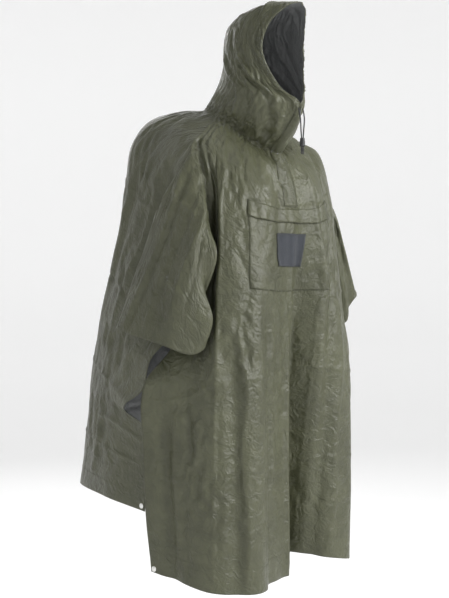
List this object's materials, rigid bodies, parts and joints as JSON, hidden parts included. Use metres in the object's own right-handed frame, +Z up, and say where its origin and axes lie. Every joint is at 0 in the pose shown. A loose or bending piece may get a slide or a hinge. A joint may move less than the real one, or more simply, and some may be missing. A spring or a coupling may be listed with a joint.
{
  "type": "rain poncho",
  "caption": "Hooded hiking rain poncho with wide sleeves, a kangaroo chest pocket with a flap, open sides and a roomy back for a rucksack.",
  "frame": {"origin": "between the wearer's shoulders at the base of the neck, where the shoulders carry the garment", "axes": "+Z up the wearer, -Y the way the wearer faces, +X towards the wearer's left side"},
  "size_m": [0.642, 0.647, 1.3685],
  "materials": {
    "olive_cloth": "coated nylon with a soft sheen",
    "slate_patch": "matt woven patch",
    "snap_metal": "bright pressed metal",
    "cord_black": "braided black cord",
    "plastic_black": "moulded black plastic"
  },
  "bodies": {
    "root": {"front_panel": "olive_cloth", "back_panel": "olive_cloth", "sleeve_right_fore": "olive_cloth", "sleeve_right_aft": "olive_cloth", "sleeve_left_fore": "olive_cloth", "sleeve_left_aft": "olive_cloth", "hood_right": "olive_cloth", "hood_left": "olive_cloth", "chest_pocket": "olive_cloth", "chest_patch": "slate_patch", "pocket_flap": "olive_cloth", "front_placket": "olive_cloth", "snap_front_right": "snap_metal", "snap_front_left": "snap_metal", "snap_back_right": "snap_metal", "snap_back_left": "snap_metal", "drawcord_right": "cord_black", "drawcord_left": "cord_black", "cord_lock": "plastic_black", "cord_knot": "cord_black"}
  },
  "joints": []
}
